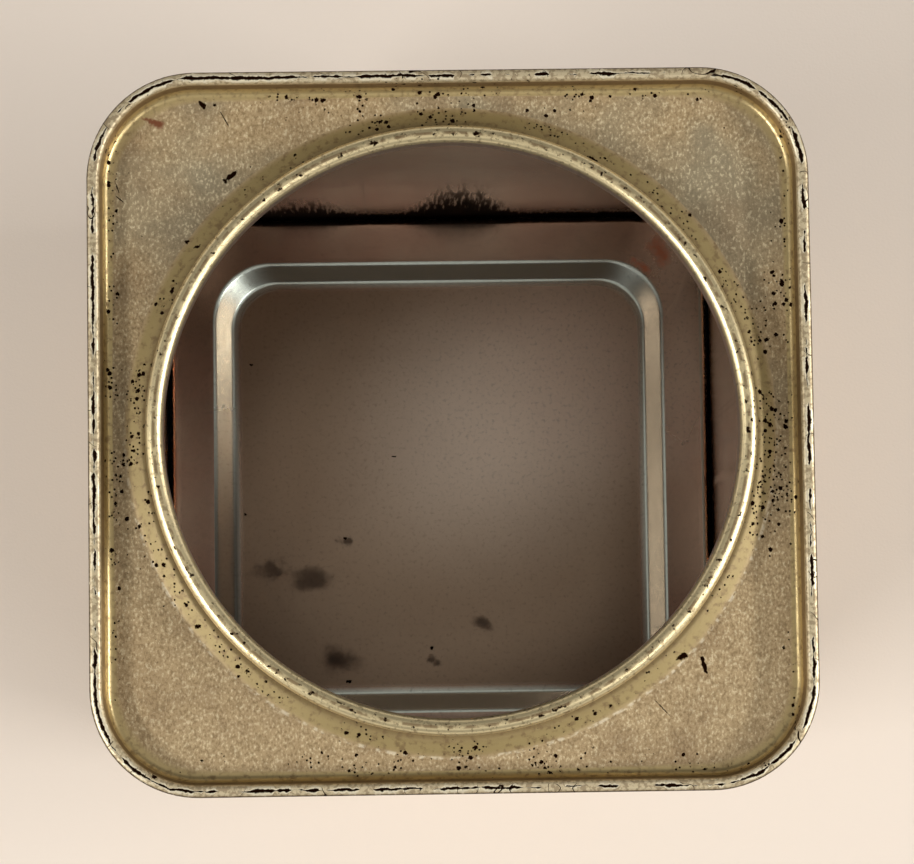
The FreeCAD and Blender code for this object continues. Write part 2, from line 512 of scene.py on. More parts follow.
class Coats:
    """A metal finish laid on in coats, with its patterns sized in millimetres."""

    # A Mix node's two inputs and its output, where it mixes numbers and where it mixes colours.
    MIX_SOCKETS: dict[str, tuple[int, int, int]] = {"FLOAT": (2, 3, 0), "RGBA": (6, 7, 2)}
    ANY_HEIGHT: float = 1000.0  # millimetres up and down that a mark seen from above reaches
    MARK_RAGGED: float = 2.4  # how far the edge of a wholly ragged mark wanders, in half widths of the mark
    MARK_LUMP: float = 0.4  # lumps of a mark's edge, in shares of its length or of twice its width
    SPOT_GROWTH: float = 3.0  # how soon a spot is full size, as the density rises past the spot's own draw
    SPOT_RAGGED: float = 0.8  # how far a spot's edge wanders, in radii
    SPOT_FADE: float = 0.12  # how wide its edge fades, in radii

    def __init__(self, name: str, colour: str, roughness: float, metal: float) -> None:
        """Start a material with one plain coat.

        Args:
            name: name of the material.
            colour: sRGB hex colour of the plain coat.
            roughness: of the plain coat.
            metal: how metallic the plain coat is.
        """
        self.material = bpy.data.materials.new(name)
        self.material.use_nodes = True
        self.material.node_tree.nodes.clear()
        self.node = partial(add, self.material.node_tree)
        place = self.node("ShaderNodeTexCoord", out="Object")
        self.place = self.node("ShaderNodeVectorMath", {0: place, "Scale": 1.0 / MM}, operation="SCALE")
        self.colour: Any = linear(colour)
        self.roughness: Any = roughness
        self.metal: Any = metal
        self.normal: dict[str, Any] = {}
        self.clouds: dict[Any, Any] = {}

    def mark(self, name: str) -> Any:
        """Value of one of the piece's own attributes."""
        return self.node("ShaderNodeAttribute", out="Fac", attribute_name=name)

    def axis(self, index: int) -> Any:
        """Distance along X, Y or Z in millimetres."""
        return self.node("ShaderNodeSeparateXYZ", {0: self.place}, out=index)

    def radius(self) -> Any:
        """Distance from the tin's axis in millimetres."""
        level = self.node("ShaderNodeVectorMath", {0: self.place, 1: (1.0, 1.0, 0.0)}, operation="MULTIPLY")
        return self.node("ShaderNodeVectorMath", {0: level}, out="Value", operation="LENGTH")

    def fold(self, operation: str, *values: Any) -> Any:
        """Numbers or sockets taken together one after another, by a sum, a difference or the like.

        Args:
            operation: Blender's name for the operation.
            *values: numbers or sockets.

        Returns:
            What is left when the last one is taken in.
        """
        result = values[0]
        for value in values[1:]:
            result = self.node("ShaderNodeMath", {0: result, 1: value}, operation=operation)
        return result

    def times(self, *factors: Any) -> Any:
        """Product of numbers or sockets."""
        return self.fold("MULTIPLY", *factors)

    def scaled(self, value: Any, factor: Any, rise: Any) -> Any:
        """The value times a factor, plus a rise."""
        return self.node("ShaderNodeMath", {0: value, 1: factor, 2: rise}, operation="MULTIPLY_ADD")

    def gap(self, value: Any, level: Any = 0.0) -> Any:
        """How far the value is from a level, above or below it."""
        return self.node("ShaderNodeMath", {0: self.fold("SUBTRACT", value, level)}, operation="ABSOLUTE")

    def ease(self, value: Any, low: Any, high: Any) -> Any:
        """0 below low, 1 above high and smooth between; low may be the larger, which turns it round."""
        feeds = {"Value": value, "From Min": low, "From Max": high}
        return self.node("ShaderNodeMapRange", feeds, interpolation_type="SMOOTHSTEP")

    def stretched(self, size: Size, shift: float) -> Any:
        """Coordinates divided by a size, and moved so that no two patterns match.

        Args:
            size: in millimetres, the same all ways or along x, y and z.
            shift: how far the pattern is moved.

        Returns:
            The coordinates.
        """
        stretch = size if isinstance(size, tuple) else (size, size, size)
        scale = tuple(1.0 / width for width in stretch)
        feeds = {"Vector": self.place, "Scale": scale, "Location": (shift,) * 3}
        return self.node("ShaderNodeMapping", feeds)

    def cloud(self, size: Size, seed: float, detail: float = 2.0) -> Any:
        """Soft noise from 0 to 1 with lumps of about that size; one that is asked for again is shared.

        Args:
            size: in millimetres, the same all ways or along x, y and z.
            seed: which noise.
            detail: how many finer noises are added to it.

        Returns:
            The noise.
        """
        if (size, seed, detail) not in self.clouds:
            feeds = {"Vector": self.stretched(size, seed), "Scale": 1.0, "Detail": detail, "Roughness": 0.55}
            self.clouds[size, seed, detail] = self.node("ShaderNodeTexNoise", feeds)
        return self.clouds[size, seed, detail]

    def patches(self, patches: Patches, *where: Any) -> Any:
        """Mask of patches, kept to where the other masks are 1."""
        noise = self.cloud(*patches.noise)
        return self.times(self.ease(noise, patches.start, patches.full), *where, patches.cover)

    def spots(self, pitch: float, radius: float, density: Any, seed: float) -> Any:
        """Ragged spots of up to that radius, one in a share of the cells of that pitch.

        Args:
            pitch: width of a cell.
            radius: of the largest spot.
            density: share of the cells that hold a spot.
            seed: which spots.

        Returns:
            1 in a spot and 0 outside.
        """
        ragged = self.scaled(self.cloud(0.6 * radius, seed + 7.0), 1.6, -0.8)
        feeds = {"Vector": self.stretched(pitch, seed), "Scale": 1.0}
        distance = self.node("ShaderNodeTexVoronoi", feeds, out="Distance")
        chance = self.node("ShaderNodeTexVoronoi", feeds, out="Color")
        draw = self.node("ShaderNodeSeparateColor", {0: chance}, out=0)
        size = self.times(self.fold("SUBTRACT", density, draw), self.SPOT_GROWTH)
        reach = self.times(self.fold("MINIMUM", size, 1.0), radius / pitch)
        spread = self.scaled(ragged, self.SPOT_RAGGED * radius / pitch, distance)
        return self.ease(self.fold("SUBTRACT", reach, spread), 0.0, self.SPOT_FADE * radius / pitch)

    def stain(self, mark: "Mark", where: Any = 1.0) -> None:
        """Lay one mark: an ellipse with a ragged edge, turned and placed as seen from above.

        Marks of about one size, to the nearest power of two, share the noise of their edges, so that many
        of them cost little.

        Args:
            mark: what to lay.
            where: 1 on the faces that can take it.
        """
        kind = mark.kind
        feeds = {
            "Vector": self.place,
            "Location": (mark.x, mark.y, 0.0),
            "Rotation": (0.0, 0.0, math.radians(mark.heading)),
            "Scale": (0.5 * mark.length, 0.5 * mark.width, self.ANY_HEIGHT),
        }
        local = self.node("ShaderNodeMapping", feeds, vector_type="TEXTURE")
        away = self.node("ShaderNodeVectorMath", {0: local}, out="Value", operation="LENGTH")
        lump = 2.0 ** round(math.log2(self.MARK_LUMP * min(mark.length, 2.0 * mark.width)))
        noise = self.fold("SUBTRACT", self.cloud(lump, 3.0 * lump, 3.0), 0.5)
        edge = self.scaled(noise, self.MARK_RAGGED * kind.ragged, away)
        mask = self.ease(edge, 1.0, 1.0 - kind.softness)
        self.coat((mask, kind.cover, where), kind.colour, kind.roughness, kind.metal)

    def laid(self, mask: Any, under: Any, over: Any, kind: str = "FLOAT") -> Any:
        """One number or colour of the coats so far, with a new one laid over it where the mask is 1."""
        first, second, out = self.MIX_SOCKETS[kind]
        return self.node("ShaderNodeMix", {0: mask, first: under, second: over}, out, data_type=kind)

    def coat(self, mask: Any, colour: str, roughness: float, metal: float | None = None) -> None:
        """Lay a coat over what is there, where the mask is 1.

        Args:
            mask: where the coat lies, or a tuple of masks and a cover, which are multiplied.
            colour: sRGB hex colour.
            roughness: of the coat.
            metal: how metallic the coat is, or None to keep what is there.
        """
        mask = self.times(*mask) if isinstance(mask, tuple) else mask
        self.colour = self.laid(mask, self.colour, linear(colour), "RGBA")
        self.roughness = self.laid(mask, self.roughness, roughness)
        if metal is not None:
            self.metal = self.laid(mask, self.metal, metal)

    def relief(self, height: Any, depth: float, strength: Any = 1.0) -> None:
        """Raise the surface by a depth in millimetres where the height is 1."""
        feeds = {"Height": height, "Distance": depth * MM, "Strength": strength, **self.normal}
        self.normal = {"Normal": self.node("ShaderNodeBump", feeds)}

    def close(self) -> bpy.types.Material:
        """Join the coats to one shader.

        Returns:
            The material.
        """
        feeds = {"Base Color": self.colour, "Roughness": self.roughness, "Metallic": self.metal}
        feeds.update(self.normal)
        self.node("ShaderNodeOutputMaterial", {"Surface": self.node("ShaderNodeBsdfPrincipled", feeds)})
        return self.material


class Kind(Enum):
    """What a mark is: colour, roughness, metal, cover, soft share of its width, and raggedness."""

    RUST = ("#6E3A1A", 0.8, 0.2, 0.95, 0.8, 1.0)
    DIRT = ("#241004", 0.9, 1.0, 1.0, 0.3, 1.0)
    SMOKE = ("#4E4238", 0.5, 0.6, 0.6, 1.0, 1.0)
    # Painted reflection: an orange glint of something warm nearby.
    FLUSH = ("#F09870", 0.45, 0.1, 0.9, 1.0, 0.7)
    # A bright rough haze on bare tin: partly a real film, partly a painted sheen.
    CLEAR = ("#F6E4D0", 0.33, 0.8, 0.95, 1.0, 0.1)

    def __init__(
        self, colour: str, roughness: float, metal: float, cover: float, softness: float, ragged: float
    ) -> None:
        """Name the six values of the mark.

        Args:
            colour: sRGB hex colour.
            roughness: of the mark.
            metal: how metallic it is.
            cover: how well it covers what lies under it.
            softness: share of its half width over which it fades.
            ragged: 0 for a smooth edge and 1 for a ragged one.
        """
        self.colour = colour
        self.roughness = roughness
        self.metal = metal
        self.cover = cover
        self.softness = softness
        self.ragged = ragged


@dataclass(frozen=True)
class Mark:
    """One mark seen from above: its place and size in millimetres, and its heading in degrees."""

    kind: Kind
    x: float
    y: float
    length: float
    width: float
    heading: float = 0.0


# Gold lacquer is rolled on, stoved and then pressed with the sheet. The eye gets a warm satin sheen with a
# fine sparkle of crystals, brighter where pressing stretched it, pale and shiny where it is rubbed down to
# the tin, and dead black where pits and the crack along the seam hold dirt.
@dataclass(frozen=True)
class GoldLacquer:
    """Stoved gold lacquer over tinplate, worn: fine crystals, rubbed seam and lip, pits and dirt."""

    name: str = "gold_lacquered_tinplate_worn"
    lacquer: str = "#B29971"
    grain_light: str = "#EAD9B2"
    grain_dark: str = "#87704C"
    # Darker silvery tone for patches that also paint shade on the back half of the panel.
    silver_and_painted_light: str = "#8C836A"
    olive: str = "#9F8C5B"
    gold: str = "#C4AE7A"
    brown: str = "#6E5436"
    tin: str = "#CFBE9A"
    lip_tin: str = "#E8D5A6"
    # Pale chipped tin, also laid as a painted highlight at the cone's foot.
    chip_and_highlight: str = "#F0E4C6"
    bare_tin: str = "#CEBBAB"
    dirt: str = "#241106"
    # Real crystals are about 0.1 mm wide, too fine to show, so they are drawn 0.25 mm wide.
    grain: float = 0.25
    grain_relief: float = 0.07
    peel_relief: float = 0.014
    pit_relief: float = 0.04
    crack: float = 0.24  # width of the crack where it opens most
    crossing_pitch: float = 9.0  # distance along the seam between fine cracks across it
    cone_foot: float = 34.35  # radius at which the cone leaves the panel
    cone_shade: Point = (33.2, 31.9)  # radii between which the cone darkens towards the neck: painted shade under the curl
    chuck_foot: float = 2.6  # distance across the seam at which the wall's brown foot starts
    outer_edge: Point = (-0.36, -0.54)  # distances across the seam between which its outer edge darkens
    lip_middle: float = 31.05  # radius of the top of the curl
    painted_shade_back: Point = (-25.0, 30.0)  # y between which the silver patches come up: painted shade that darkens the back half
    front_wear_and_highlight: Point = (8.0, -12.0)  # y between which the pale line at the cone's foot comes up: rubbed tin and a painted highlight
    # Pitch, largest radius and seed of the large and of the small pits.
    pits: tuple[tuple[float, float, float], ...] = ((0.95, 0.26, 5.0), (0.45, 0.13, 15.0))
    dark_broad: Patches = Patches(1.4, 7.0, 3.0, 0.5, 0.3, 0.45)
    silver_patches: Patches = Patches(12.0, 51.0, 2.0, 0.35, 0.6, 0.7)
    stains: Patches = Patches(9.0, 11.0, 4.0, 0.47, 0.72, 0.4)
    pressed_tarnish: Patches = Patches(0.7, 65.0, 4.0, 0.48, 0.7, 0.6)
    cone_foot_wear_and_highlight: Patches = Patches(0.8, 61.0, 3.0, 0.46, 0.62, 0.5)
    grime_and_shade: Patches = Patches(5.0, 31.0, 2.0, 0.38, 0.62, 2.4)
    seam_mottle: Patches = Patches(0.45, 81.0, 4.0, 0.44, 0.58, 0.55)
    crack_open: Patches = Patches(2.6, 33.0, 3.0, 0.42, 0.58)
    lip_tarnish: Patches = Patches(0.5, 91.0, 4.0, 0.52, 0.7, 0.6)
    lip_top_dark_reflection: Patches = Patches(1.4, 95.0, 3.0, 0.4, 0.55, 0.75)
    lip_flecks: Patches = Patches(0.9, 97.0, 4.0, 0.58, 0.64)
    marks: tuple[Mark, ...] = (
        Mark(Kind.RUST, -30.6, 33.0, 1.8, 1.2, 20.0),
        Mark(Kind.RUST, -31.3, 33.3, 2.8, 0.7, -15.0),
        Mark(Kind.DIRT, -25.9, 35.0, 1.1, 0.6, -50.0),
        Mark(Kind.DIRT, -35.0, 26.3, 1.3, 0.14, -70.0),
        Mark(Kind.DIRT, -34.7, 25.0, 1.4, 0.14, -40.0),
        Mark(Kind.DIRT, -23.6, 33.5, 2.2, 0.14, -60.0),
        Mark(Kind.DIRT, -23.0, 27.3, 1.6, 0.7, 35.0),
        Mark(Kind.DIRT, -27.6, 20.4, 0.6, 0.5),
        Mark(Kind.DIRT, -26.5, 19.8, 0.8, 0.4, 20.0),
        Mark(Kind.DIRT, -26.8, -20.2, 0.8, 0.5),
        Mark(Kind.DIRT, 15.2, 28.7, 1.1, 0.4, -30.0),
        Mark(Kind.DIRT, 23.9, -24.0, 1.5, 0.8, 40.0),
        Mark(Kind.DIRT, 26.2, -25.0, 2.2, 0.5, -75.0),
        Mark(Kind.DIRT, 34.6, -23.3, 0.4, 0.4),
        Mark(Kind.DIRT, 21.7, -29.4, 2.6, 0.12, -47.0),
    )

    def build(self) -> bpy.types.Material:
        """Coats from the lacquer up: crystals, tints of the pressed parts, rubbed tin, dirt and marks.

        Returns:
            The material.
        """
        coats = Coats(self.name, self.lacquer, 0.5, 0.3)
        seam, lip, wall, cone = (
            coats.mark(zone.value) for zone in (Zone.SEAM, Zone.LIP, Zone.WALL, Zone.CONE)
        )
        end = coats.mark("end")
        plain = coats.scaled(coats.fold("MAXIMUM", wall, cone, seam, lip), -0.8, 1.0)
        grains = self.lay_grains(coats, plain, end)
        self.lay_tints(coats, cone, wall, end)
        line = self.lay_seam(coats, seam)
        self.lay_lip(coats, lip)
        # Black specks of dirt, crowded towards the rim and the cone so that they also paint shade in those
        # recesses.
        grime_and_shade = coats.patches(self.grime_and_shade, coats.mark("grime_and_shade"))
        layers = [coats.spots(pitch, radius, grime_and_shade, seed) for pitch, radius, seed in self.pits]
        pits = coats.fold("MAXIMUM", *layers)
        coats.coat(pits, self.dirt, 0.9, 1.0)
        for mark in self.marks:
            coats.stain(mark, end)
        coats.coat((coats.mark("left"), coats.fold("SUBTRACT", 1.0, lip), end), self.bare_tin, 0.3, 1.0)
        coats.relief(grains, self.grain_relief, plain)
        coats.relief(coats.cloud(1.3, 41.0), self.peel_relief)
        coats.relief(coats.fold("SUBTRACT", 1.0, coats.fold("MAXIMUM", line, pits)), self.pit_relief)
        return coats.close()

    def lay_grains(self, coats: Coats, plain: Any, end: Any) -> Any:
        """Fine soft crystals of the stoved lacquer, dark and light, and larger silvery patches that paint
        shade on the back.

        Args:
            coats: the finish so far.
            plain: 1 away from the pressed parts.
            end: 1 on the top end.

        Returns:
            How high the crystals stand, from 0 to 1.
        """
        height = coats.cloud((self.grain, 1.5 * self.grain, self.grain), 3.0, 3.0)
        coats.coat(coats.patches(self.dark_broad, plain), self.grain_dark, 0.5)
        coats.coat((coats.ease(height, 0.5, 0.34), plain, 0.75), self.grain_dark, 0.5)
        # Painted shade: darker silvery patches come up towards the back, where the panel looks darker in the
        # light.
        back = coats.ease(coats.axis(1), *self.painted_shade_back)
        coats.coat(coats.patches(self.silver_patches, back, plain, end), self.silver_and_painted_light, 0.5)
        coats.coat((coats.ease(height, 0.53, 0.68), plain, 0.55), self.grain_light, 0.4)
        return height

    def lay_tints(self, coats: Coats, cone: Any, wall: Any, end: Any) -> None:
        """Brown stains, the stretched shiny lacquer of cone and wall, painted shade under the curl, and the
        foot of the cone, rubbed and painted with a highlight.

        Args:
            coats: the finish so far.
            cone: 1 on the cone.
            wall: 1 on the wall inside the seam.
            end: 1 on the top end.
        """
        coats.coat(coats.patches(self.stains), self.brown, 0.6)
        radius = coats.radius()
        fade = coats.ease(radius, self.cone_foot + 0.2, self.cone_foot - 0.7)
        coats.coat((cone, fade, end, 0.85), self.olive, 0.52, 0.4)
        coats.coat((wall, 0.85), self.gold, 0.28, 0.8)
        chuck = coats.ease(coats.mark("across"), self.chuck_foot, self.chuck_foot - 0.5)
        coats.coat((wall, chuck, 0.85), self.brown, 0.4)
        pressed = coats.fold("MAXIMUM", wall, cone)
        coats.coat(coats.patches(self.pressed_tarnish, pressed), self.brown, 0.5)
        # Painted shade: the neck, and the cone towards it, darken where the curl of the lip overhangs them.
        coats.coat((coats.mark(Zone.NECK.value), 0.7), self.brown, 0.4)
        coats.coat((cone, coats.ease(radius, *self.cone_shade), end, 0.5), self.brown, 0.4)
        # Pale line at the cone's foot towards the front: partly rubbed tin, partly a painted highlight on the
        # fillet.
        foot = coats.ease(coats.gap(radius, self.cone_foot), 0.26, 0.06)
        front = coats.ease(coats.axis(1), *self.front_wear_and_highlight)
        coats.coat(coats.patches(self.cone_foot_wear_and_highlight, foot, front, end), self.chip_and_highlight, 0.4)

    def lay_seam(self, coats: Coats, seam: Any) -> Any:
        """Rubbed tin, its darkened outer edge, and the wandering crack along the crown with chips beside it.

        Args:
            coats: the finish so far.
            seam: 1 on the seam.

        Returns:
            1 in the crack.
        """
        across, along = coats.mark("across"), coats.mark("along")
        coats.coat(seam, self.tin, 0.45, 0.6)
        coats.coat(coats.patches(self.seam_mottle, seam), self.brown, 0.6)
        # Darker along the seam's outer edge.
        coats.coat((coats.ease(across, *self.outer_edge), seam, 0.8), self.dirt, 0.6, 1.0)
        bend = coats.fold("SUBTRACT", coats.cloud(1.6, 21.0, 4.0), 0.5)
        offset = coats.gap(coats.scaled(bend, 0.5, across))
        ragged = coats.scaled(coats.cloud(*self.seam_mottle.noise), 1.6, -0.1)
        width = coats.patches(self.crack_open, ragged, self.crack)
        chips = coats.ease(offset, coats.times(width, 3.0), coats.times(width, 1.6))
        coats.coat((chips, seam, 0.8), self.chip_and_highlight, 0.4, 0.6)
        crack = coats.ease(offset, coats.times(width, 1.3), coats.times(width, 0.7))
        wander = coats.times(coats.cloud(7.0, 71.0), 3.0)
        turns = coats.scaled(along, 1.0 / self.crossing_pitch, wander)
        beat = coats.gap(coats.node("ShaderNodeMath", {0: turns}, operation="FRACT"), 0.5)
        crossing = coats.times(coats.ease(beat, 0.012, 0.005), coats.ease(across, 0.35, 0.2))
        line = coats.times(coats.fold("MAXIMUM", crack, crossing), seam)
        coats.coat(line, self.dirt, 0.9, 1.0)
        return line

    def lay_lip(self, coats: Coats, lip: Any) -> None:
        """Rubbed tin over warm lacquer, tarnished in specks, with a painted dark reflection in patches along
        the top of the curl.

        Args:
            coats: the finish so far.
            lip: 1 on the lip.
        """
        coats.coat(lip, self.lip_tin, 0.3, 0.8)
        coats.coat(coats.patches(self.lip_tarnish, lip), self.brown, 0.4)
        # Painted reflection: brown patches along the top of the curl stand for the dark overhead that it
        # mirrors.
        top = coats.gap(coats.radius(), self.lip_middle)
        coats.coat(coats.patches(self.lip_top_dark_reflection, coats.ease(top, 0.26, 0.08), lip), self.brown, 0.5)
        coats.coat(coats.patches(self.lip_flecks, coats.ease(top, 0.5, 0.25), lip), self.dirt, 0.9, 1.0)


# Electrolytic tinplate is rolled bright and left bare inside. The eye gets a mirror blurred by a thin brown
# haze, with faint lines along the rolling and the step's cold gleam, and matt black where rust and dirt sit
# in the fold, where shade in the crease is painted as well.
@dataclass(frozen=True)
class PlainTinplate:
    """Electrolytic tinplate, rolled and bare: hazed brown, with smudges, and rust in the fold."""

    name: str = "bare_tinplate_hazed"
    tin: str = "#CBB39E"
    rosy: str = "#C3A08C"
    # Silvery tint of the step, also laid as a painted highlight beside the fold.
    silver_and_painted_light: str = "#D6DCCF"
    film: str = "#A08A73"
    # Smoky brown for the rolling lines and fine patches, and for painted shade on the step.
    smoke: str = "#4A4038"
    rust: str = "#4A2A1A"
    black: str = "#120C09"
    haze: float = 0.2
    floor_middle: float = 28.0  # half the width of the brown film on the floor
    shade_back: Point = (22.0, -8.0)  # y, and then x, between which the step's left leg takes painted shade
    shade_left: Point = (-20.0, -26.0)
    fold_height: float = 3.3
    fold_out: float = 36.6
    painted_gleam_out: float = 35.8  # distance out of the thin painted highlight beside the fold
    painted_gleam_right: Point = (35.0, 35.4)  # x from which that painted highlight shows
    wall_out: Point = (36.7, 36.9)  # distances out between which the wall starts
    back_wall: Point = (36.0, 36.6)  # y between which the back wall starts
    # x, half width and height of each tuft of rust on the back wall.
    tufts: tuple[tuple[float, float, float], ...] = ((3.0, 9.0, 21.0), (-18.0, 9.0, 11.0))
    # Pitch, largest radius, density and seed of the specks.
    specks: tuple[float, float, float, float] = (5.0, 0.3, 0.08, 13.0)
    cloudy: Patches = Patches(12.0, 2.0, 3.0, 0.4, 0.65, 0.7)
    # Real rolling lines are about 0.02 mm wide, too fine to show, so they are drawn 0.5 mm wide.
    rolled: Patches = Patches((0.5, 0.5, 40.0), 9.0, 2.0, 0.5, 0.8, 0.25)
    fine: Patches = Patches(1.1, 23.0, 4.0, 0.45, 0.75, 0.05)
    streaks: Patches = Patches((0.5, 0.5, 6.0), 27.0, 5.0, 0.22, 0.62)
    swell_relief: float = 0.03
    fine_relief: float = 0.001
    # Large bright hazes on the floor: partly a rough film, partly a painted sheen of light scattered from
    # above.
    gleams: tuple[Mark, ...] = (
        Mark(Kind.CLEAR, 13.0, 13.0, 74.0, 50.0, 38.0),
        Mark(Kind.CLEAR, 33.0, 18.0, 44.0, 12.0, 90.0),
    )
    marks: tuple[Mark, ...] = (
        Mark(Kind.DIRT, -25.6, 16.9, 0.5, 0.4),
        Mark(Kind.DIRT, -26.6, -3.5, 0.4, 0.4),
        Mark(Kind.DIRT, -13.1, -7.0, 0.5, 0.4),
        Mark(Kind.DIRT, -6.3, 4.1, 0.6, 0.3),
        Mark(Kind.SMOKE, -14.3, -23.6, 7.5, 5.6, 15.0),
        Mark(Kind.SMOKE, -14.4, -23.7, 3.6, 3.0, 15.0),
        Mark(Kind.DIRT, -12.8, -26.4, 0.8, 0.5),
        Mark(Kind.SMOKE, -1.3, -23.7, 2.6, 1.7, -20.0),
        Mark(Kind.DIRT, -1.5, -22.0, 0.5, 0.6),
        Mark(Kind.SMOKE, -23.0, -11.2, 7.0, 3.6),
        Mark(Kind.SMOKE, -17.5, -12.5, 9.0, 4.0, 10.0),
        Mark(Kind.SMOKE, -13.0, -7.4, 2.8, 1.4),
        Mark(Kind.SMOKE, 5.6, -18.6, 4.4, 2.2, -30.0),
        # Painted reflections: orange glints on the land near the back right corner.
        Mark(Kind.FLUSH, 30.6, 31.6, 6.0, 3.4, -60.0),
        Mark(Kind.FLUSH, 28.0, 29.6, 5.0, 1.6, -40.0),
        # Painted reflections: bright streaks over wrinkles of the land.
        Mark(Kind.CLEAR, 33.0, 26.0, 8.0, 0.9, 70.0),
        Mark(Kind.CLEAR, 31.8, 24.0, 5.0, 0.5, 55.0),
    )

    def build(self) -> bpy.types.Material:
        """Coats from the tin up: haze, brown film, painted sheen and glints, painted shade on the step,
        rolling lines, smudges, and rust, dirt and painted shade in the fold.

        Returns:
            The material.
        """
        coats = Coats(self.name, self.tin, self.haze, 1.0)
        coats.coat(coats.patches(self.cloudy), self.rosy, 1.2 * self.haze)
        out = coats.fold("MAXIMUM", coats.gap(coats.axis(0)), coats.gap(coats.axis(1)))
        coats.coat((coats.ease(out, self.floor_middle, self.floor_middle - 1.5), 0.95), self.film, 0.3)
        # Painted sheen: the bright hazes on the floor.
        for gleam in self.gleams:
            coats.stain(gleam)
        step = coats.mark(Zone.CONE.value)
        coats.coat(step, self.silver_and_painted_light, 0.23)
        # Painted shade: the step's left leg darkens towards the front, where its reflection of the lit wall
        # fades.
        shade = (coats.ease(coats.axis(1), *self.shade_back), coats.ease(coats.axis(0), *self.shade_left))
        coats.coat((step, *shade, 0.8), self.smoke, 0.4)
        coats.coat(coats.patches(self.rolled), self.smoke, 0.3)
        coats.coat(coats.patches(self.fine), self.smoke, 0.35)
        coats.coat(coats.spots(*self.specks), self.black, 0.7)
        for mark in self.marks:
            coats.stain(mark)
        self.lay_fold_rust(coats, out)
        coats.relief(coats.cloud(6.0, 29.0), self.swell_relief)
        coats.relief(coats.cloud(*self.fine.noise), self.fine_relief)
        return coats.close()

    def lay_fold_rust(self, coats: Coats, out: Any) -> None:
        """Black in the fold between wall and floor, partly dirt and partly painted shade, a painted highlight
        beside it, and tufts of rust that climb the back wall.

        Args:
            coats: the finish so far.
            out: distance from the axis, square to the nearest wall.
        """
        inside = coats.fold("SUBTRACT", 1.0, coats.mark("left"))
        up = coats.fold("SUBTRACT", coats.axis(2), self.fold_height)
        away = coats.fold("MAXIMUM", up, coats.fold("SUBTRACT", self.fold_out, out))
        ragged = coats.scaled(coats.cloud(0.7, 25.0, 4.0), 1.0, -0.35)
        # Black in the fold: partly real dirt and rust, partly painted shade in the crease between wall and
        # floor.
        dirt = coats.ease(away, ragged, coats.fold("SUBTRACT", ragged, 0.5))
        coats.coat((dirt, inside), self.black, 0.8, 1.0)
        # Painted highlight: a thin bright silvery line beside the fold on the right.
        painted_gleam = coats.ease(coats.gap(out, self.painted_gleam_out), 0.3, 0.1)
        coats.coat((painted_gleam, coats.ease(coats.axis(0), *self.painted_gleam_right), inside, 0.85), self.silver_and_painted_light, 0.3, 0.6)
        back = coats.ease(coats.axis(1), *self.back_wall)
        on_wall = coats.times(coats.ease(out, *self.wall_out), back, inside)
        tufts = coats.fold("ADD", *(self.tuft(coats, *sizes) for sizes in self.tufts))
        tip = coats.patches(self.streaks, coats.fold("ADD", tufts, 3.0))
        spread = coats.scaled(tufts, 0.5, coats.fold("ADD", tip, 3.0))
        coats.coat((coats.ease(up, spread, 0.0), on_wall, 0.6), self.rust, 0.7, 1.0)
        core = coats.ease(up, coats.times(tip, 1.2), coats.times(tip, 0.4))
        coats.coat((core, on_wall, 0.9), self.black, 0.8, 1.0)

    def tuft(self, coats: Coats, x: float, half: float, height: float) -> Any:
        """How far a tuft of rust about that x climbs out of the fold, falling off to both sides."""
        return coats.times(coats.ease(coats.gap(coats.axis(0), x), half, 0.1 * half), height)


# ---------------------------------------------------------------- the tin


@dataclass(frozen=True)
class TinFrame:
    """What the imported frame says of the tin, in millimetres."""

    half: float
    lip_top: float
    crown: float
    seam_height: float = 3.1
    sheet: float = 0.24
    fold_gap: float = 0.02
    corner_radius: float = 11.4

    @classmethod
    def read(cls) -> "TinFrame":
        """Take the width, the lip and the top crown from the nodes' boxes.

        Returns:
            The tin's sizes.
        """
        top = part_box("top_end")[1] / MM
        body_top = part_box("body")[1].z / MM
        return cls(half=top.x, lip_top=top.z, crown=body_top + cls.sheet + cls.fold_gap)

    @property
    def corner_centre(self) -> float:
        """How far out the corners' common centres lie, along x and along y."""
        return self.half - self.corner_radius

    def layer(self, count: int) -> float:
        """Middle of the sheet that lies under that many others in the seam."""
        return self.half - count * (self.sheet + self.fold_gap) - 0.5 * self.sheet

    def plan(self) -> Plan:
        """Columns shared by all the sheets."""
        return Plan(self.corner_centre, self.corner_radius)


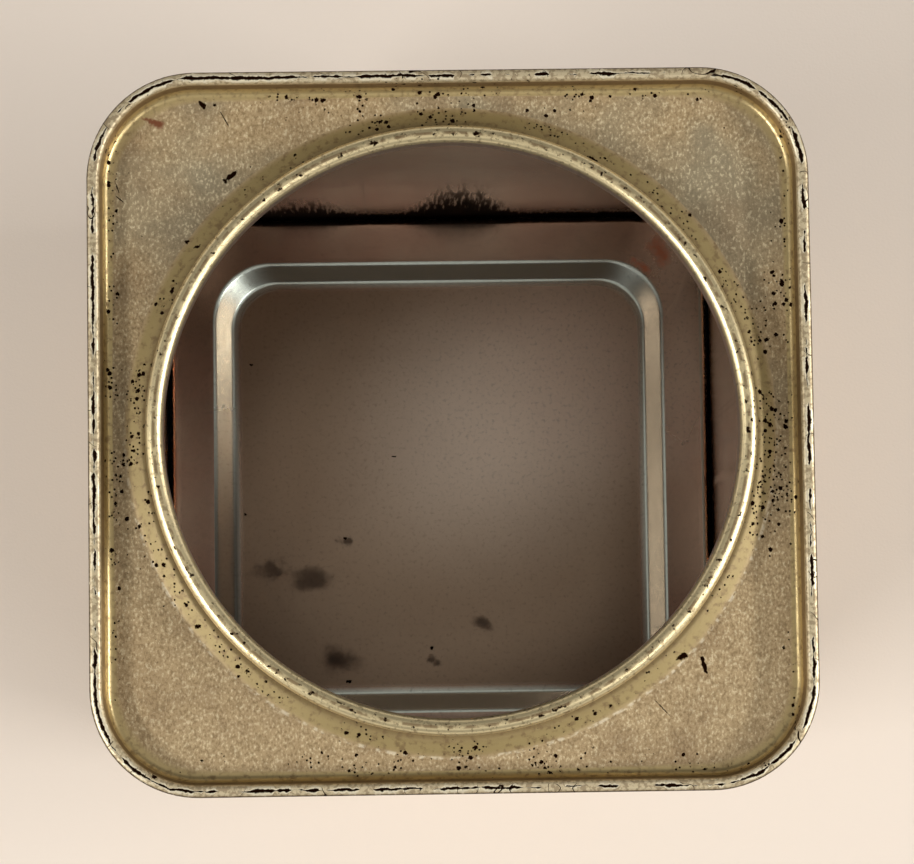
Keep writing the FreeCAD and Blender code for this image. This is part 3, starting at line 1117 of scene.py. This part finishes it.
@dataclass
class EndRim:
    """Rim that both ends share: cover hook, seam wall, crown, and the leaning wall down to the panel."""

    tin: TinFrame
    crown_outer: float = 0.5
    crown_inner: float = 0.4
    hook_clearance: float = 0.25
    panel_depth: float = 2.9
    taper: float = 8.0
    foot_fillet: float = 0.8

    def foot(self) -> Point:
        """Centre of the fillet at the wall's foot, with the crown at z = 0.

        Returns:
            (u, z) of the centre.
        """
        lean = math.radians(self.taper)
        inner = self.tin.layer(4) - 0.5 * self.tin.sheet
        drop = self.panel_depth - self.foot_fillet - self.crown_inner + self.foot_fillet * math.sin(lean)
        along = drop / math.cos(lean)
        out = inner - along * math.sin(lean) - self.foot_fillet * math.cos(lean)
        return out, self.foot_fillet - self.panel_depth

    def parts(self) -> list[tuple[Zone, Part]]:
        """Stretches of the rim's middle line, from the cover hook's tip to the panel's edge.

        Returns:
            Each stretch with its zone.
        """
        half_sheet = 0.5 * self.tin.sheet
        wall, hook, chuck = (self.tin.layer(count) for count in (0, 2, 4))
        fold_radius = 0.5 * (wall - hook)
        fold = (wall - fold_radius, fold_radius + half_sheet - self.tin.seam_height)
        hook_tip = -(2.0 * self.tin.sheet + self.tin.fold_gap + self.hook_clearance)
        outer_centre = (self.tin.half - self.crown_outer, -self.crown_outer)
        outer = Bend(outer_centre, self.crown_outer - half_sheet, 0, 90, 9)
        inner_centre = (chuck - half_sheet + self.crown_inner, -self.crown_inner)
        inner = Bend(inner_centre, self.crown_inner - half_sheet, 90, 180 - self.taper, 8)
        foot = Bend(self.foot(), self.foot_fillet + half_sheet, -self.taper, -90, 9)
        corners = ((outer, -1), (inner, 0), (inner, -1), (foot, 0))
        ends = [tuple(part.points()[index]) for part, index in corners]
        return [
            (Zone.HOOK, Run((hook, hook_tip), (hook, fold[1]))),
            (Zone.HOOK, Bend(fold, fold_radius, 180, 360, 10)),
            (Zone.HOOK, Run((wall, fold[1]), (wall, -self.crown_outer), 3)),
            (Zone.SEAM, outer),
            (Zone.SEAM, Run(ends[0], ends[1], 2)),
            (Zone.SEAM, inner),
            (Zone.WALL, Run(ends[2], ends[3], 4)),
            (Zone.WALL, foot),
        ]


@dataclass
class TopEnd:
    """Pressed top: rim, sunken panel, low cone, round neck and a lip curled outwards."""

    tin: TinFrame
    rim: EndRim
    panel_land: float = 1.25
    cone_width: float = 2.1
    cone_slope: float = 25.0
    cone_fillet: float = 0.8
    neck_standoff: float = 1.95
    neck_fillet: float = 0.5
    lip_radius: float = 0.92
    lip_turn: float = 300.0
    panel_rows: int = 14
    unevenness: float = 0.05
    wave_pitch: float = 18.0
    # Dirt specks, and painted shade near the rim, on the panel: the middle of each heap and its reach, along
    # x and y.
    heaps: tuple[tuple[float, float, float, float], ...] = (
        (0.0, 34.5, 14.0, 2.6),
        (-34.0, 0.0, 2.6, 14.0),
        (34.0, 0.0, 2.4, 16.0),
        (0.0, -34.5, 26.0, 1.2),
    )
    # Dirt along the cone, and dirt with painted shade along the rim: the radius or the distance out of its
    # middle, and its reach.
    cone_dirt: Point = (33.2, 0.9)
    rim_dirt_and_shade: Point = (35.6, 0.5)

    def line(self) -> Midline:
        """Middle line from the cover hook's tip to the end of the lip's curl.

        Returns:
            The middle line.
        """
        half_sheet = 0.5 * self.tin.sheet
        depth = self.rim.panel_depth + half_sheet
        edge = self.rim.foot()[0]
        bend = self.cone_fillet + half_sheet
        slope = math.radians(self.cone_slope)
        straight = self.cone_width - 2.0 * bend * math.sin(slope)
        climb = 2.0 * bend * (1.0 - math.cos(slope)) + straight * math.tan(slope)
        land = climb - depth
        foot = Bend((edge - self.panel_land, bend - depth), bend, -90, -90 - self.cone_slope, 6)
        crest = Bend((foot.centre[0] - self.cone_width, land - bend), bend, 90 - self.cone_slope, 90, 6)
        neck_bend = self.neck_fillet + half_sheet
        neck_middle = crest.centre[0] - self.neck_standoff - half_sheet
        turn = Bend((neck_middle + neck_bend, land + neck_bend), neck_bend, 270, 180, 8)
        curl_radius = self.lip_radius - half_sheet
        lip_rise = self.tin.lip_top - self.tin.crown - self.lip_radius
        curl = Bend((neck_middle + curl_radius, lip_rise), curl_radius, 180, 180 - self.lip_turn, 34)
        at = {part: part.points() for part in (foot, crest, turn, curl)}
        parts = self.rim.parts() + [
            (Zone.PANEL, Run((edge, -depth), tuple(at[foot][0]), self.panel_rows)),
            (Zone.CONE, foot),
            (Zone.CONE, Run(tuple(at[foot][-1]), tuple(at[crest][0]), 3)),
            (Zone.CONE, crest),
            (Zone.CONE, Run(tuple(at[crest][-1]), tuple(at[turn][0]), 2)),
            (Zone.NECK, turn),
            (Zone.NECK, Run(tuple(at[turn][-1]), tuple(at[curl][0]), 2)),
            (Zone.LIP, curl),
        ]
        raised = Midline.through(parts)
        raised.points[:, 1] += self.tin.crown
        return raised

    def build(self) -> bpy.types.Object:
        """Carry the line round the tin, turning it from the square rim to the round cone over the panel.

        The panel is uneven by 4 w (1 - w) of the waves, where w is its roundness: none at its two edges.

        Returns:
            The piece.
        """
        line = self.line()
        plan = self.tin.plan()
        edge = self.rim.foot()[0]
        roundness = np.clip((edge - line.points[:, 0]) / self.panel_land, 0.0, 1.0)
        centre = np.full(len(roundness), self.tin.corner_centre)
        middle = plan.place(line.points[:, 0], line.points[:, 1], centre, roundness)
        loose = (4.0 * roundness * (1.0 - roundness))[:, None]
        uneven = waves(middle[..., 0], middle[..., 1], self.wave_pitch, seed=4)
        shift = np.zeros_like(middle)
        shift[..., 2] = self.unevenness * loose * uneven
        made = Sheet(plan, line, self.tin.sheet, centre, roundness, shift).build("top_end_sheet", poles=False)
        self.mark_grime_and_shade(made)
        return made

    def mark_grime_and_shade(self, made: bpy.types.Object) -> None:
        """Mark how much dirt and painted shade each point takes, and that it is the top end's.

        A heap is exp(-((x - a) / w)^2 - ((y - b) / d)^2), and dirt along the cone or rim is exp(-(s / r)^2),
        with s the distance from its middle and r its reach.

        Args:
            made: the top end.
        """
        points = np.empty(len(made.data.vertices) * 3)
        made.data.vertices.foreach_get("co", points)
        x, y = (points.reshape(-1, 3)[:, :2] / MM).T
        heaps = sum(np.exp(-(((x - a) / w) ** 2) - ((y - b) / d) ** 2) for a, b, w, d in self.heaps)
        outs = ((np.hypot(x, y), self.cone_dirt), (np.maximum(np.abs(x), np.abs(y)), self.rim_dirt_and_shade))
        on_cone, at_rim = (np.exp(-(((out - middle) / reach) ** 2)) for out, (middle, reach) in outs)
        set_mark(made.data, "grime_and_shade", 0.05 + 0.4 * heaps + 0.3 * on_cone + 0.3 * at_rim)
        set_mark(made.data, "end", np.ones_like(x))


@dataclass
class BaseEnd:
    """Floor of the tin: the rim turned over, a flat land, a shallow step and the sunken middle."""

    tin: TinFrame
    rim: EndRim
    land: float = 4.9
    slope: float = 25.0
    depth: float = 1.1
    fillet: float = 1.2
    outer_corner: float = 7.8
    inner_corner: float = 6.4
    pole_hole: float = 0.4
    unevenness: float = 0.05
    wave_pitch: float = 26.0
    calm_edge: float = 8.0

    def line(self) -> Midline:
        """Middle line from the cover hook's tip to the middle of the floor.

        Returns:
            The middle line.
        """
        half_sheet = 0.5 * self.tin.sheet
        floor = self.rim.panel_depth + half_sheet
        edge = self.rim.foot()[0]
        bend = self.fillet + half_sheet
        lean = math.radians(self.slope)
        drop = self.depth - 2.0 * bend * (1.0 - math.cos(lean))
        run = 2.0 * bend * math.sin(lean) + drop / math.tan(lean)
        upper = Bend((edge - self.land, floor - bend), bend, 90, 90 + self.slope, 8)
        lower = Bend((upper.centre[0] - run, floor - self.depth + bend), bend, self.slope - 90, -90, 8)
        start, end = upper.points(), lower.points()
        rim = [(zone, self.turned_over(part)) for zone, part in self.rim.parts()]
        return Midline.through(rim + [
            (Zone.PANEL, Run((edge, floor), tuple(start[0]), 8)),
            (Zone.CONE, upper),
            (Zone.CONE, Run(tuple(start[-1]), tuple(end[0]), 4)),
            (Zone.CONE, lower),
            (Zone.PANEL, Run(tuple(end[-1]), (self.pole_hole, floor - self.depth), 40)),
        ])

    @staticmethod
    def turned_over(part: Part) -> Part:
        """The same stretch with its heights turned over.

        Args:
            part: the stretch.

        Returns:
            The stretch turned over.
        """
        if isinstance(part, Run):
            return Run((part.start[0], -part.start[1]), (part.end[0], -part.end[1]), part.steps)
        return Bend((part.centre[0], -part.centre[1]), part.radius, -part.start, -part.end, part.steps)

    def build(self) -> bpy.types.Object:
        """Carry the line round the tin, with the step's corners drawn in more sharply than its walls.

        Returns:
            The piece.
        """
        line = self.line()
        plan = self.tin.plan()
        u, z = line.points.T
        edge = self.rim.foot()[0]
        outer, inner = edge - self.land, u[line.zones == Zone.CONE.value].min()
        stops = [0.0, inner, outer, edge, self.tin.half]
        edge_corner = edge - self.tin.corner_centre
        radii = [0.0, self.inner_corner, self.outer_corner, edge_corner, self.tin.corner_radius]
        centre = u - np.interp(u, stops, radii)
        roundness = np.zeros_like(u)
        middle = plan.place(u, z, centre, roundness)
        loose = np.clip((inner - u) / self.calm_edge, 0.0, 1.0)[:, None]
        uneven = waves(middle[..., 0], middle[..., 1], self.wave_pitch, seed=8)
        shift = np.zeros_like(middle)
        shift[..., 2] = self.unevenness * loose * uneven
        return Sheet(plan, line, self.tin.sheet, centre, roundness, shift).build("base_end_sheet", poles=True)


@dataclass
class Body:
    """Rolled and welded body: a straight wall between two hooks, with its side weld at +X."""

    tin: TinFrame
    hook_clearance: float = 0.25
    bulge: float = 0.12
    wall_rows: int = 36
    weld_width: float = 1.4
    weld_proud: float = 0.06
    weld_clearance: float = 0.44
    nugget: float = 0.8
    weld_columns: int = 24
    weld_flatness: float = 0.5

    def line(self) -> Midline:
        """Middle line from the upper hook's tip down the wall to the lower hook's tip.

        Returns:
            The middle line.
        """
        half_sheet = 0.5 * self.tin.sheet
        wall, hook = self.tin.layer(3), self.tin.layer(1)
        radius = 0.5 * (hook - wall)
        fold = self.tin.sheet + self.tin.fold_gap + half_sheet + radius
        tip = self.tin.seam_height - self.tin.sheet - self.hook_clearance
        top = self.tin.crown
        return Midline.through([
            (Zone.HOOK, Run((hook, top - tip), (hook, top - fold))),
            (Zone.HOOK, Bend((wall + radius, top - fold), radius, 0, 180, 8)),
            (Zone.PANEL, Run((wall, top - fold), (wall, fold), self.wall_rows)),
            (Zone.HOOK, Bend((wall + radius, fold), radius, 180, 360, 8)),
            (Zone.HOOK, Run((hook, fold), (hook, tip))),
        ])

    def swell(self, across: np.ndarray, z: np.ndarray) -> np.ndarray:
        """How far the wall stands out: bulge * (1 - s^2)^2 * sin(pi h), with s across and h up the wall.

        Args:
            across: -1 to 1 from one end of a wall to the other.
            z: height.

        Returns:
            The distance at each point.
        """
        low, high = self.tin.seam_height, self.tin.crown - self.tin.seam_height
        height = np.clip((z - low) / (high - low), 0.0, 1.0)
        return self.bulge * (1.0 - across**2) ** 2 * np.sin(math.pi * height)

    def build(self) -> bpy.types.Object:
        """Carry the line round the tin, and let each wall swell a little between the seams.

        Returns:
            The piece.
        """
        line = self.line()
        plan = self.tin.plan()
        walls, outward, _ = plan.columns()
        along = np.abs(walls[:, 0] * outward[:, 1] - walls[:, 1] * outward[:, 0])
        centre = np.full(len(line.length), self.tin.corner_centre)
        middle = plan.place(line.points[:, 0], line.points[:, 1], centre, np.zeros_like(centre))
        straight = np.abs(outward).max(axis=1) > 1.0 - 1e-9
        across = np.where(straight, along, 1.0)
        free = (line.zones == Zone.PANEL.value)[:, None]
        swell = self.swell(across[None, :], middle[..., 2]) * free
        shift = np.zeros_like(middle)
        shift[..., :2] = swell[..., None] * outward
        sheet = Sheet(plan, line, self.tin.sheet, centre, np.zeros_like(centre), shift)
        return sheet.build("body_sheet", poles=False)

    def weld(self) -> bpy.types.Object:
        """Lap of the side weld: a flattened round bar up the wall, rippled by the welding wheel's nuggets.

        Its section is (t sign(cos a) |cos a|^f, w sign(sin a) |sin a|^f), where f is its flatness.

        Returns:
            The piece.
        """
        bottom = self.tin.seam_height + self.weld_clearance
        z = np.arange(bottom, self.tin.crown - bottom, 0.25 * self.nugget)
        angle = np.linspace(0.0, math.tau, self.weld_columns, endpoint=False)
        x_side, y_side = (
            np.sign(part) * np.abs(part) ** self.weld_flatness for part in (np.cos(angle), np.sin(angle))
        )
        thick = 0.5 * self.tin.sheet + self.weld_proud * (0.7 + 0.3 * np.cos(math.tau * z / self.nugget))
        wide = 0.5 * self.weld_width * (0.94 + 0.06 * waves(z, z, 2.4, seed=12))
        middle = self.tin.layer(3) + self.swell(np.zeros_like(z), z)
        x = middle[:, None] + thick[:, None] * x_side
        y = wide[:, None] * y_side
        points = np.stack([x, y, np.broadcast_to(z[:, None], x.shape)], axis=2).reshape(-1, 3)
        faces = grid_faces(*x.shape, closed=False).tolist()
        points, faces = close_ends(points, faces, self.weld_columns)
        return make_mesh("side_weld", points, faces, {"left": (points[:, 0] > self.tin.layer(3)) * 1.0})


# ---------------------------------------------------------------- studio


@dataclass(frozen=True)
class Lamp:
    """A soft box that stands off to one side, and looks at the tin's mouth."""

    name: str
    azimuth: float
    elevation: float
    width: float
    height: float
    power: float
    distance: float = 1.0

    def build(self, target: Vector) -> bpy.types.Object:
        """Hang the lamp; its azimuth is in degrees from +X towards +Y, and its sizes are in metres.

        Args:
            target: point that the lamp looks at, in metres.

        Returns:
            The lamp.
        """
        data = bpy.data.lights.new(self.name, "AREA")
        data.shape = "RECTANGLE"
        data.size, data.size_y = self.width, self.height
        data.energy = self.power
        lamp = stand(self.name, data)
        turn, rise = math.radians(self.azimuth), math.radians(self.elevation)
        away = Vector((math.cos(turn) * math.cos(rise), math.sin(turn) * math.cos(rise), math.sin(rise)))
        lamp.location = target + self.distance * away
        lamp.rotation_euler = (-away).to_track_quat("-Z", "Y").to_euler()
        return lamp


@dataclass(frozen=True)
class Studio:
    """Pale sweep, soft boxes to the left and the right, a dim soft sky, and the camera above the mouth."""

    floor_colour: str = "#E6D9CB"
    floor_size: float = 6.0
    lamps: tuple[Lamp, ...] = (
        Lamp("left_key", 205.0, 38.0, 0.5, 0.08, 5.0),
        Lamp("left_low_box", 202.0, 15.0, 0.85, 0.42, 1.6),
        Lamp("left_high_box", 197.0, 45.0, 0.55, 0.12, 0.8),
        Lamp("right_key", -9.0, 26.5, 0.5, 0.07, 6.0),
        Lamp("right_low_box", -5.0, 10.0, 0.8, 0.34, 1.4),
        Lamp("right_high_box", -26.0, 45.0, 0.8, 0.14, 1.5),
        Lamp("right_top_box", -33.0, 60.0, 0.3, 0.2, 0.9),
        Lamp("front_box", 262.0, 58.0, 0.6, 0.35, 0.3),
    )
    sky_colour: str = "#FFFCF8"
    sky_low: float = 0.95
    sky_middle: float = 0.1
    sky_overhead: float = 0.46
    sky_fall: Point = (0.0, 0.45)  # sines of the elevations between which the sky dims
    sky_rise: Point = (0.86, 0.98)  # and between which it comes up again
    camera_height: float = 336.8  # millimetres above the top crown
    camera_aside: Point = (0.553, -0.341)
    camera_tilt: tuple[float, float, float] = (-4.29, 0.95, 0.82)  # degrees about x, y and z
    lens: float = 126.98
    sensor: float = 36.0

    def floor(self) -> bpy.types.Object:
        """Flat floor with a fine paper tooth.

        Returns:
            The floor.
        """
        mesh = bpy.data.meshes.new("studio_floor")
        half = 0.5 * self.floor_size
        corners = [(-half, -half, 0), (half, -half, 0), (half, half, 0), (-half, half, 0)]
        mesh.from_pydata(corners, [], [(0, 1, 2, 3)])
        made = stand("studio_floor", mesh)
        # Uncoated paper is matt: it holds soft shadows and gives back no gleam. Its fibres are about 0.05 mm
        # wide, too fine to show, so its tooth is drawn 0.4 mm wide.
        paper = Coats("matt_paper", self.floor_colour, 0.9, 0.0)
        paper.relief(paper.cloud(0.4, 1.0), 0.02)
        mesh.materials.append(paper.close())
        return made

    def sky(self) -> None:
        """Light from all round: bright at the horizon, dim halfway up, and a little brighter overhead."""
        world = bpy.data.worlds.new("soft_studio")
        bpy.context.scene.world = world
        world.use_nodes = True
        tree = world.node_tree
        tree.nodes.clear()
        heading = add(tree, "ShaderNodeTexCoord", out="Generated")
        up = add(tree, "ShaderNodeSeparateXYZ", {0: heading}, out=2)
        rise = self.sky_overhead - self.sky_middle
        parts = []
        for (foot, top), first, last in (
            (self.sky_fall, self.sky_low, self.sky_middle),
            (self.sky_rise, 0.0, rise),
        ):
            feeds = {"Value": up, "From Min": foot, "From Max": top, "To Min": first, "To Max": last}
            parts.append(add(tree, "ShaderNodeMapRange", feeds, interpolation_type="SMOOTHSTEP"))
        level = add(tree, "ShaderNodeMath", dict(enumerate(parts)), operation="ADD")
        glow = add(tree, "ShaderNodeBackground", {"Color": linear(self.sky_colour), "Strength": level})
        add(tree, "ShaderNodeOutputWorld", {"Surface": glow})

    def camera(self, crown: float) -> None:
        """Stand the camera above the mouth, looking almost straight down.

        Args:
            crown: height of the top crown in millimetres.
        """
        data = bpy.data.cameras.new("camera")
        data.lens, data.sensor_width = self.lens, self.sensor
        data.clip_start, data.clip_end = 0.01, 20.0
        made = stand("camera", data)
        turn = Matrix.Identity(3)
        for axis, degrees in zip("XYZ", self.camera_tilt):
            turn = turn @ Matrix.Rotation(math.radians(degrees), 3, axis)
        seat = turn.transposed() @ (Vector((*self.camera_aside, self.camera_height)) * MM)
        made.matrix_world = Matrix.Translation(seat + Vector((0, 0, crown * MM))) @ turn.transposed().to_4x4()
        bpy.context.scene.camera = made

    def build(self, crown: float) -> None:
        """Set up floor, sky, lamps and camera.

        Args:
            crown: height of the top crown in millimetres.
        """
        self.floor()
        self.sky()
        for lamp in self.lamps:
            lamp.build(Vector((0, 0, crown * MM)))
        self.camera(crown)
        bpy.context.scene.view_settings.view_transform = "Standard"


def dress(
    piece: bpy.types.Object, finishes: Sequence[bpy.types.Material], node: str | None
) -> None:
    """Give a piece its finishes and tell the frame where it belongs.

    Args:
        piece: the piece.
        finishes: its material, or two: one for the right face of its middle line and one for the left.
        node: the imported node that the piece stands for.
    """
    mesh = piece.data
    for finish in finishes:
        mesh.materials.append(finish)
    if len(finishes) > 1:
        left = np.empty(len(mesh.vertices), np.float32)
        mesh.attributes["left"].data.foreach_get("value", left)
        start = np.empty(len(mesh.polygons), np.int32)
        mesh.polygons.foreach_get("loop_start", start)
        corner = np.empty(len(mesh.loops), np.int32)
        mesh.loops.foreach_get("vertex_index", corner)
        mesh.polygons.foreach_set("material_index", (left[corner[start]] > 0.5).astype(np.int32))
    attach(piece, BODY)
    if node:
        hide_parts(node)
    LOG.info("%s: %d faces", piece.name, len(mesh.polygons))


def main() -> None:
    """Build the tin's sheets in order, dress them and set up the studio."""
    logging.basicConfig(level=logging.INFO, format="%(message)s")
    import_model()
    tin = TinFrame.read()
    gold, bare = GoldLacquer().build(), PlainTinplate().build()
    body = Body(tin)
    rim = EndRim(tin)
    dress(body.build(), (bare, gold), "body")
    dress(body.weld(), (bare,), None)
    dress(BaseEnd(tin, rim).build(), (bare, gold), "base_end")
    dress(TopEnd(tin, rim).build(), (gold,), "top_end")
    Studio().build(tin.crown)


if __name__ == "__main__":
    main()
